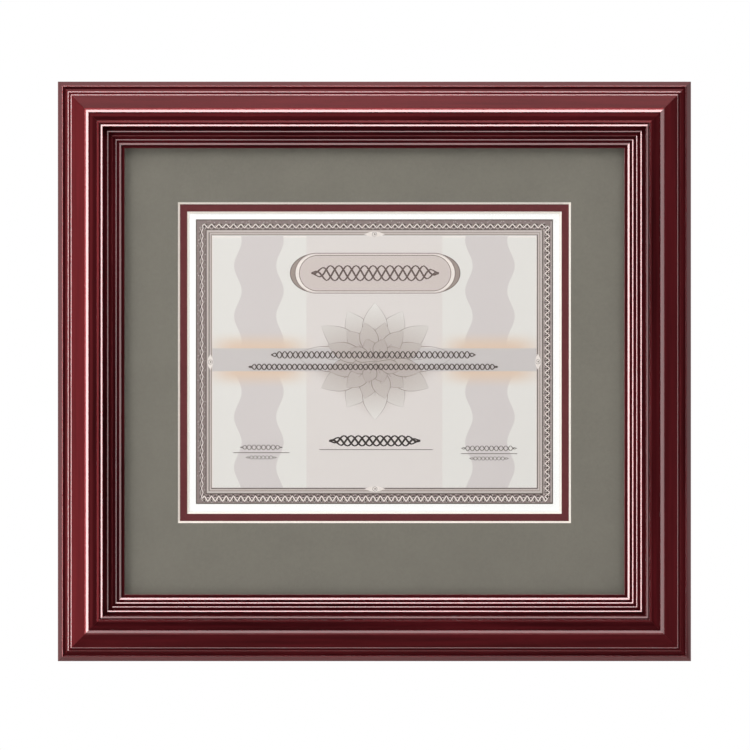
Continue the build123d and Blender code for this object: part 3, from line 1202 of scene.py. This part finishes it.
    def thicken(self, piece: Piece, level: float, ink: Material) -> None:
        """Thickens a flat face down to the sheet and prints it.

        Args:
            piece: a face in the XZ plane.
            level: how many layers it stands above the sheet.
            ink: its material.
        """
        edit(piece)
        bpy.ops.mesh.extrude_region_move(
            TRANSFORM_OT_translate={"value": (0, level * self.layer * MM, 0)}
        )
        turn_outward()
        self.print_on(piece, level, ink)

    def border_point(self, side: Side, along: float, inset: float) -> Point:
        """Finds a point on a side of the border.

        Args:
            side: the side.
            along: how far the point lies from the side's middle, clockwise.
            inset: how far in it lies from the border's edge.

        Returns:
            The point, from the print's middle.
        """
        out_x, out_z = side.value
        return (
            out_x * (self.border[0] / 2 - inset) + out_z * along,
            out_z * (self.border[1] / 2 - inset) - out_x * along + self.border_lift,
        )

    def run(self, number: int) -> tuple[float, float, int]:
        """Fits whole folds of the plait between two corners.

        Args:
            number: the side's place among the patterns.

        Returns:
            Where the plait starts and ends from the side's middle, and how many folds fit.
        """
        pattern = self.patterns[number]
        half = self.border[abs(pattern.side.value[0])] / 2
        start = self.patterns[number - 1].inset - half
        stop = half - self.patterns[(number + 1) % len(self.patterns)].inset
        return start, stop, round((stop - start) / pattern.pitch)

    def strand(self, over: bool, grow: float) -> list[Stroke]:
        """One strand of the plait, round the whole border.

        Args:
            over: whether it is the upper strand, whose folds point outward first.
            grow: how much wider it is drawn, in millimetres.

        Returns:
            The stroke alone, its widths in millimetres.
        """
        points, widths = [], []
        for number, pattern in enumerate(self.patterns):
            start, stop, folds = self.run(number)
            steps = folds * self.fold_steps
            for step in range(steps):
                turn = math.tau * folds * step / steps
                # The first two terms of a triangle wave draw a pointed fold.
                fold = self.fold_gain * (math.sin(turn) - math.sin(3 * turn) / 9)
                rise = pattern.swing * fold if over else -pattern.swing * fold - pattern.sink
                along = start + (stop - start) * step / steps
                points.append(self.border_point(pattern.side, along, pattern.inset - rise))
                widths.append((pattern.over if over else pattern.under) + grow)
        return [Stroke(tuple(points), tuple(widths), closed=True)]

    def eye(self, side: Side, along: float, row: EyeRow) -> Stroke:
        """One dark eye of the plait, thickest at its middle.

        Args:
            side: the border's side.
            along: the eye's place from the side's middle.
            row: the row that it belongs to.

        Returns:
            The stroke.
        """
        points = tuple(
            self.border_point(side, along + step * row.half_length, row.inset + step * row.slant)
            for step in (-1, 0, 1)
        )
        return Stroke(points, (0.3 * row.width, row.width, 0.3 * row.width))

    def speck(self, side: Side, along: float, chance: random.Random) -> Stroke:
        """One short stroke of the plait's ground, near either edge and a little aslant.

        Args:
            side: the border's side.
            along: the stroke's place from the side's middle.
            chance: what its inset and its lean are drawn with.

        Returns:
            The stroke.
        """
        inset = chance.choice([chance.uniform(*limits) for limits in self.speck_insets])
        lean = chance.uniform(-self.speck_lean, self.speck_lean)
        ends = (-self.speck_half, -lean), (self.speck_half, lean)
        points = tuple(self.border_point(side, along + step, inset + slant) for step, slant in ends)
        return Stroke(points, (0.4, 0.25))

    def side_lines(self, dark: bool) -> list[Stroke]:
        """The dark or the light lines that only some sides of the border have.

        Args:
            dark: whether the dark ones are asked for.

        Returns:
            The strokes.
        """
        strokes = []
        for pattern in self.patterns:
            half = self.border[abs(pattern.side.value[0])] / 2
            for line in pattern.lines:
                if line.dark == dark:
                    ends = (line.inset - half, half - line.inset)
                    points = tuple(self.border_point(pattern.side, end, line.inset) for end in ends)
                    strokes.append(Stroke(points, (line.width, line.width)))
        return strokes

    def print_plait(self) -> None:
        """The border's plait: two strands with dark outlines, dark eyes and the ground's specks."""
        eyes, specks = [], []
        chance = random.Random(11)
        for number, pattern in enumerate(self.patterns):
            start, stop, folds = self.run(number)
            fold = (stop - start) / folds
            for count in range(folds):
                for row in pattern.eyes:
                    eyes.append(self.eye(pattern.side, start + fold * (count + row.shift), row))
                for _ in range(self.specks_per_fold):
                    along = start + fold * (count + chance.random())
                    specks.append(self.speck(pattern.side, along, chance))
        for name, strokes, level, ink in (
            ("plait_specks", specks, 1.5, Ink.GREY_BORDER),
            ("plait_under_outline", self.strand(False, 0.5), 1.5, Ink.UMBER),
            ("plait_under_strand", self.strand(False, 0.0), 1.9, Ink.GREY_BORDER),
            ("plait_eyes", eyes, 2.1, Ink.UMBER),
            ("plait_over_outline", self.strand(True, 0.4), 2.3, Ink.UMBER),
            ("plait_over_strand", self.strand(True, 0.0), 2.8, Ink.PALE_BORDER),
            ("border_dark_lines", self.side_lines(True), 1.5, Ink.UMBER),
            ("border_light_lines", self.side_lines(False), 1.5, Ink.GREY_BORDER),
        ):
            self.engrave(name, strokes, 1.0, level, ink.material())

    def print_bands(self) -> None:
        """The flat frames of the border, from its dark edging to its inner line."""
        for name, inset, width, level, ink in (
            ("border_edging", 0.0, 0.8, 1.0, Ink.EDGING),
            ("border_ground", 0.8, 5.95, 0.9, Ink.BORDER_GROUND),
            ("border_inner_edging", 6.75, 0.75, 1.0, Ink.EDGING),
            ("border_light_band", 7.5, 3.7, 0.8, Ink.BORDER_LIGHT),
            ("border_first_line", 8.85, 0.6, 1.1, Ink.BORDER_GREY),
            ("border_inner_line", 10.3, 0.9, 1.1, Ink.BORDER_GREY),
        ):
            plane = bpy.ops.mesh.primitive_plane_add
            piece = begin(name, plane, size=MM, rotation=(math.pi / 2, 0, 0))
            piece.scale = (self.border[0] - 2 * inset, self.border[1] - 2 * inset, 1)
            settle(piece)
            edit(piece)
            bpy.ops.mesh.inset(thickness=width * MM)
            bpy.ops.mesh.delete(type="FACE")
            leave_edit()
            piece.location.z = self.border_lift * MM
            settle(piece)
            self.thicken(piece, level, ink.material())

    def ribbon(
        self, length: float, swing: float, pitch: float, strands: int, middle: Point
    ) -> list[Stroke]:
        """An interlaced wave ribbon that narrows to a point at both ends.

        Args:
            length: its length in millimetres.
            swing: how far its strands swing from the middle.
            pitch: the length of a wave.
            strands: how many strands are laid together.
            middle: its middle, from the print's middle.

        Returns:
            The strokes.
        """
        steps = round(length / pitch * self.wave_steps)
        strokes = []
        for strand in range(strands):
            points, widths = [], []
            for step in range(steps + 1):
                along = (step / steps - 0.5) * length
                taper = min(1.0, (length / 2 - abs(along)) / (self.ribbon_taper * pitch))
                turn = math.tau * (along / pitch + strand / strands)
                points.append((middle[0] + along, middle[1] + swing * taper * math.sin(turn)))
                widths.append(0.75 + 0.45 * abs(math.cos(turn)))
            strokes.append(Stroke(tuple(points), tuple(widths)))
        return strokes

    def petal_shares(self) -> list[float]:
        """Where a petal's points lie, as shares of its length."""
        return [step / self.petal_steps for step in range(self.petal_steps + 1)]

    def petal_width(self, share: float) -> float:
        """A petal's half width at a share of its length, which is greatest past its middle."""
        return max(0.01, math.sin(math.pi * share**1.3))

    def petal(self, angle: float, ring: PetalRing, side: float) -> tuple[Point, ...]:
        """One edge of a petal of the rosette, or its vein.

        Args:
            angle: the way that the petal points, from the right, anticlockwise.
            ring: the ring that it belongs to.
            side: 1 or -1 for an edge, 0 for the vein.

        Returns:
            The points from the middle to the tip.
        """
        across, up = math.cos(angle), math.sin(angle)
        spread, (wide, high) = self.rosette_spread, self.rosette_half
        diamond = (abs(across) / wide) ** spread + (abs(up) / high) ** spread
        length = ring.reach * diamond ** (-1 / spread)
        middle_x, middle_z = self.rosette_middle
        points = []
        for share in self.petal_shares():
            bulge = side * ring.belly * self.petal_width(share)
            # Every petal curls a little upward to its tip.
            curl = self.petal_curl * length * share * share * abs(across)
            x = middle_x + length * share * across - bulge * up
            points.append((x, middle_z + length * share * up + bulge * across + curl))
        return tuple(points)

    def print_rosette(self) -> None:
        """A rosette of broad curled petals in three rings, faintly filled and finely lined."""
        body = tuple(self.petal_width(share) for share in self.petal_shares())
        swell = tuple(0.15 + 0.85 * math.sin(math.pi * share**0.8) for share in self.petal_shares())
        vein_part = slice(4, 15)
        lines = []
        for level, ring in enumerate(self.rings):
            fills = []
            for number in range(ring.count):
                angle = math.tau * (number + ring.turn) / ring.count
                lift = self.ring_lift * level + self.next_lift * (number % 2)
                vein = self.petal(angle, ring, 0)
                # The band's grey shows through the two long level petals, which are only lined.
                if level or abs(math.sin(angle)) > 0.1:
                    fills.append(Stroke(vein, body, lift=lift))
                thin = tuple(0.6 * share for share in swell[vein_part])
                lines.append(Stroke(vein[vein_part], thin, lift=lift))
                for side in (-1, 1):
                    lines.append(Stroke(self.petal(angle, ring, side), swell, lift=lift))
            name = f"petal_tint_ink_{level + 1}"
            tint = FadingInk(name, ring.near, ring.far, self.shade_half, self.centre_z).build()
            piece = f"rosette_petals_{level + 1}"
            self.engrave(piece, fills, 2 * ring.belly, 0.3, tint, self.petal_thickness)
        line = Ink.PETAL_LINE.material()
        self.engrave("rosette_lines", lines, 0.34, 0.45, line, self.petal_thickness)

    def print_cartouche(self) -> None:
        """The upper panel: shaded crescents, a dark outline, a cream ring and a tinted middle.

        Each is flat with round ends, which reach as far as the third number says.
        """
        for name, (length, height), end, level, ink in (
            ("cartouche_crescent_line", (117.6, 27.4), 18.4, 0.7, Ink.CARTOUCHE_LINE),
            ("cartouche_crescents", (116.6, 26.4), 17.9, 0.9, Ink.CARTOUCHE_SHADE),
            ("cartouche_outline", (110.9, 28.0), 14.7, 1.1, Ink.CARTOUCHE_RING),
            ("cartouche_ring", (109.9, 27.1), 14.2, 1.25, Ink.CARTOUCHE_BLUSH),
            ("cartouche_bright_ends", (109.7, 25.3), 14.0, 1.35, Ink.CARTOUCHE_CREAM),
            ("cartouche_inner_line", (105.0, 25.0), 12.9, 1.5, Ink.CARTOUCHE_RING),
            ("cartouche_middle", (104.1, 24.0), 12.4, 1.7, Ink.CARTOUCHE_TINT),
        ):
            disc = {"vertices": 128, "radius": MM, "fill_type": "NGON"}
            upright = (math.pi / 2, 0, 0)
            piece = begin(name, bpy.ops.mesh.primitive_circle_add, rotation=upright, **disc)
            piece.scale = (end, height / 2, 1)
            settle(piece)
            for side in (-1, 1):
                edit(piece, lambda spot: spot.x * side > 1e-3 * MM)
                bpy.ops.transform.translate(value=(side * (length / 2 - end) * MM, 0, 0))
                leave_edit()
            piece.location = Vector((self.cartouche_middle[0], 0, self.cartouche_middle[1])) * MM
            settle(piece)
            self.thicken(piece, level, ink.material())
        ribbon = self.ribbon(88.0, 5.2, 17.6, 3, self.cartouche_middle)
        self.engrave("cartouche_ribbon", ribbon, 1.05, 2.0, Ink.CARTOUCHE_LINE.material())

    def rim(self, x: float, z: float) -> Stroke:
        """A small ring round a point.

        Args:
            x: the point's place across, from the print's middle.
            z: its height above the print's middle.

        Returns:
            The stroke.
        """
        turns = [math.tau * step / self.rim_steps for step in range(self.rim_steps)]
        radius = self.rim_radius
        points = tuple((x + radius * math.cos(turn), z + radius * math.sin(turn)) for turn in turns)
        return Stroke(points, closed=True)

    def print_ornaments(self) -> None:
        """The ribbons across the middle, the rules below and a knot on each side."""
        ribbons = [
            *self.ribbon(141.0, 2.3, 7.4, 2, (-0.8, 5.4)),
            *self.ribbon(172.0, 2.0, 7.0, 2, (-0.8, -2.9)),
        ]
        flourish = self.ribbon(63.0, 3.5, 15.0, 3, (0.2, -53.9))
        fine, faint = [], []
        for middle, rule, upper, lower in ((-78.1, -62.1, 29.0, 21.0), (79.1, -62.8, 38.0, 27.0)):
            fine.append(Stroke(((middle - 19.5, rule), (middle + 19.5, rule))))
            fine += self.ribbon(upper, 1.75, 6.6, 2, (middle, rule + 3.7))
            faint += self.ribbon(lower, 1.25, 5.4, 2, (middle, rule - 3.3))
        faint.append(Stroke(((-38.0, -60.0), (40.3, -60.0)), (1.3, 1.3)))
        bosses, rims, pips = [], [], []
        # Each knot has its place and how far its boss reaches along X and along Z.
        for x, z, wide, high in (
            (0.0, 88.6, 7.0, 0.0),
            (0.3, -87.1, 7.0, 0.0),
            (-113.2, 0.4, 0.0, 5.4),
            (112.8, 0.6, 0.0, 5.4),
        ):
            points = tuple((x + share * wide, z + share * high) for share in (-1, -0.5, 0, 0.5, 1))
            bosses.append(Stroke(points, (0.05, 0.65, 1.0, 0.65, 0.05)))
            rims.append(self.rim(x, z))
            hook = ((x - 0.1, z + 0.5), (x + 0.3, z), (x - 0.1, z - 0.4))
            pips.append(Stroke(hook, (0.5, 1.2, 0.5)))
        for name, strokes, width, level, ink in (
            ("middle_ribbons", ribbons, 0.72, 3.2, Ink.ORNAMENT),
            ("lower_flourish", flourish, 1.15, 1.0, Ink.HEADING),
            ("rules_and_marks", fine, 0.46, 1.0, Ink.FINE_LINE),
            ("faint_marks", faint, 0.34, 1.0, Ink.FINE_LINE),
            ("side_bosses", bosses, 4.4, 1.9, Ink.BOSS),
            ("side_rims", rims, 0.26, 3.0, Ink.FINE_LINE),
            ("side_pips", pips, 1.0, 3.0, Ink.ORNAMENT),
        ):
            self.engrave(name, strokes, width, level, ink.material())

    def build(self) -> None:
        """Dresses the sheet and prints on it."""
        dress_node("certificate", PrintedPaper("printed_wove_paper", self.centre_z).build())
        self.print_bands()
        self.print_plait()
        self.print_rosette()
        self.print_cartouche()
        self.print_ornaments()


# What is carried over and dressed


@dataclass
class GlazedPackage:
    """The glass, the two mats and the boards behind the certificate."""

    upper_face_y: float = -16.17
    lower_face_y: float = -14.77

    def dress(self) -> None:
        """Dresses each layer."""
        for node, finish in (
            ("glazing", FloatGlass("clear_float_glass")),
            ("upper_mat", MatBoard("grey_mat_board", "#77736a", "#706c64", self.upper_face_y)),
            ("lower_mat", MatBoard("burgundy_mat_board", "#633032", "#5b2a2d", self.lower_face_y)),
            ("hinge_tapes", LinenTape("gummed_linen_tape")),
            ("mount_board", CoatedPaper("foam_board_paper")),
            ("backing_board", Hardboard("tempered_hardboard")),
        ):
            dress_node(node, finish.build())


@dataclass
class BackFittings:
    """The turn buttons, hangers, screws, nails and bumpers on the back."""

    zinc: Finish = PlatedSteel("bright_zinc_plated_steel")
    screw: Finish = PlatedSteel("nickelled_screw_steel", "#b9b6ae", "#8d8a83", (0.2, 0.36))
    nail: Finish = PlatedSteel("blued_nail_steel", "#7d8085", "#55585d", (0.35, 0.55))
    rubber: Finish = MouldedRubber("moulded_grey_rubber")

    def dress(self) -> None:
        """Dresses each fitting by what its name says."""
        for words, finish in (
            (("turn_button", "hanger_strap", "hanger_ring"), self.zinc),
            (("button_screws", "hanger_screws"), self.screw),
            (("mitre_nails",), self.nail),
            (("bumper",), self.rubber),
        ):
            material = finish.build()
            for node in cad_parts:
                if node.startswith(words):
                    dress_node(node, material)


# The studio


class Shine(Enum):
    """What a lamp does: it lights matt colours, or it is what glossy surfaces mirror."""

    FILL = "fill"
    GLEAM = "gleam"


@dataclass(frozen=True)
class SoftBox:
    """A lamp aimed at the frame: its place and size in metres, and its strength in watts."""

    name: str
    place: tuple[float, float, float]
    size: tuple[float, float]
    power: float
    shine: Shine


@dataclass
class Studio:
    """A plain studio with a pale floor and a far camera.

    Broad soft boxes light the frame, mostly from the upper left, and slim ones beside them are
    what the lacquer mirrors.
    """

    camera_distance: float = 6.0
    camera_offset: tuple[float, float] = (0.0004, -0.0025)
    view_width: float = 0.5186
    room_light: float = 0.15
    floor_z: float = -2.0
    floor_radius: float = 2.2
    tent_radius: float = 3.4
    tent_half_angle: float = 72.0
    tent_lean: float = 15.0
    boxes: tuple[SoftBox, ...] = (
        SoftBox("left_soft_box", (-1.76, -1.48, 0.1), (1.3, 2.0), 33.5, Shine.FILL),
        SoftBox("top_soft_box", (0.0, -1.48, 1.76), (2.0, 1.3), 36.5, Shine.FILL),
        SoftBox("right_soft_box", (1.76, -1.48, 0.0), (1.3, 2.0), 14.5, Shine.FILL),
        SoftBox("low_soft_box", (0.0, -1.48, -1.76), (2.0, 1.3), 11.5, Shine.FILL),
        SoftBox("rear_soft_box", (0.9, 2.4, 1.5), (1.8, 1.4), 60.0, Shine.FILL),
        SoftBox("left_strip", (-1.74, -1.36, 0.1), (0.37, 2.4), 46.0, Shine.GLEAM),
        SoftBox("top_strip", (0.0, -1.36, 1.74), (2.4, 0.37), 43.0, Shine.GLEAM),
        SoftBox("right_strip", (1.69, -1.42, 0.0), (0.27, 2.4), 7.5, Shine.GLEAM),
        SoftBox("low_strip", (0.0, -1.39, -1.715), (2.4, 0.27), 7.5, Shine.GLEAM),
        SoftBox("top_veil", (0.0, -1.877, 1.375), (2.4, 0.27), 1.2, Shine.GLEAM),
        SoftBox("rear_strip", (0.9, 2.3, 1.5), (1.8, 1.0), 10.0, Shine.GLEAM),
    )

    def light_room(self) -> None:
        """Lights the room evenly; it looks white to the camera, in mirrors and through glass."""
        world = bpy.data.worlds.new("studio")
        bpy.context.scene.world = world
        world.use_nodes = True
        tree = world.node_tree
        tree.nodes.clear()
        rays = add_node(tree, "LightPath", {}).outputs
        seen = rays["Is Camera Ray"]
        for ray in ("Is Glossy Ray", "Is Transmission Ray"):
            either = {"operation": "MAXIMUM", 0: seen, 1: rays[ray]}
            seen = add_node(tree, "Math", either).outputs[0]
        light = {"To Min": self.room_light, "To Max": 1.0, "Value": seen}
        strength = add_node(tree, "MapRange", light).outputs[0]
        white = add_node(tree, "Background", {"Color": (1, 1, 1, 1), "Strength": strength})
        add_node(tree, "OutputWorld", {"Surface": white.outputs[0]})

    def set_lamps(self) -> None:
        """Sets up the soft boxes, each aimed at the frame and unseen by the camera."""
        for box in self.boxes:
            data = bpy.data.lights.new(box.name, "AREA")
            data.shape = "RECTANGLE"
            data.size, data.size_y = box.size
            data.energy = box.power
            lamp = bpy.data.objects.new(box.name, data)
            bpy.context.scene.collection.objects.link(lamp)
            lamp.location = box.place
            lamp.rotation_euler = (-Vector(box.place)).to_track_quat("-Z", "Y").to_euler()
            lamp.visible_camera = False
            lamp.visible_diffuse = box.shine is Shine.FILL
            lamp.visible_glossy = box.shine is Shine.GLEAM
            LOG.info("%s: %.0f W", box.name, box.power)

    def paint(self, piece: Piece, name: str, shader: dict) -> None:
        """Gives a piece of the studio one plain paint.

        Args:
            piece: the floor or the tent.
            name: the paint's name.
            shader: the shader's values by input name.
        """
        material = bpy.data.materials.new(name)
        material.use_nodes = True
        for key, value in shader.items():
            material.node_tree.nodes["Principled BSDF"].inputs[key].default_value = value
        piece.data.materials.append(material)

    def lay_floor(self) -> None:
        """Lays a flat, pale round floor with an inset ring at its rim, below the frame and out of
        the front view.
        """
        disc = {"vertices": 96, "radius": self.floor_radius, "fill_type": "NGON"}
        circle = bpy.ops.mesh.primitive_circle_add
        floor = begin("studio_floor", circle, location=(0, 0, self.floor_z), **disc)
        settle(floor)
        edit(floor)
        bpy.ops.mesh.inset(thickness=0.05)
        leave_edit()
        self.paint(floor, "pale_floor_paint", {"Base Color": linear("#f2f2f0"), "Roughness": 0.8})

    def pitch_tent(self) -> None:
        """Pitches a matt black half dome in front that only gloss sees, as glazed pictures are lit.

        It keeps the white room out of the glass and the lacquer, and it stops short of the
        frame's plane, so that the outermost edges still mirror the white.
        """
        ball = {"segments": 48, "ring_count": 24, "radius": self.tent_radius}
        tent = begin("black_tent", bpy.ops.mesh.primitive_uv_sphere_add, **ball)
        edit(tent)
        rim_y = -self.tent_radius * math.cos(math.radians(self.tent_half_angle))
        bpy.ops.mesh.bisect(plane_co=(0, rim_y, 0), plane_no=(0, 1, 0), clear_outer=True)
        bpy.ops.mesh.select_all(action="SELECT")
        bpy.ops.mesh.flip_normals()
        leave_edit()
        # It leans to the lower right, so that the upper and left edges see more of the room.
        lean = math.radians(self.tent_lean) / math.sqrt(2)
        tent.rotation_euler = (lean, 0, lean)
        settle(tent)
        cloth = {"Base Color": linear("#0b0b0c"), "Roughness": 1.0, "Specular IOR Level": 0.0}
        self.paint(tent, "matt_black_cloth", cloth)
        tent.visible_camera = False
        tent.visible_diffuse = False
        tent.visible_shadow = False

    def place_camera(self) -> None:
        """Places the camera straight in front, far off, as the frame's square edges ask."""
        data = bpy.data.cameras.new("camera")
        data.lens = data.sensor_width * self.camera_distance / self.view_width
        camera = bpy.data.objects.new("camera", data)
        bpy.context.scene.collection.objects.link(camera)
        camera.location = (self.camera_offset[0], -self.camera_distance, self.camera_offset[1])
        camera.rotation_euler = (math.pi / 2, 0, 0)
        bpy.context.scene.camera = camera

    def build(self) -> None:
        """Sets up the whole studio."""
        bpy.context.scene.view_settings.view_transform = "Standard"
        self.light_room()
        self.set_lamps()
        self.lay_floor()
        self.pitch_tent()
        self.place_camera()


def main() -> None:
    """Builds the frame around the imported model, and then the studio."""
    logging.basicConfig(level=logging.INFO, format="%(name)s: %(message)s")
    low, high = CAD_BOX
    Moulding(size=((high.x - low.x) / MM, (high.z - low.z) / MM)).build()
    GlazedPackage().dress()
    Certificate().build()
    BackFittings().dress()
    Studio().build()


if __name__ == "__main__":
    main()
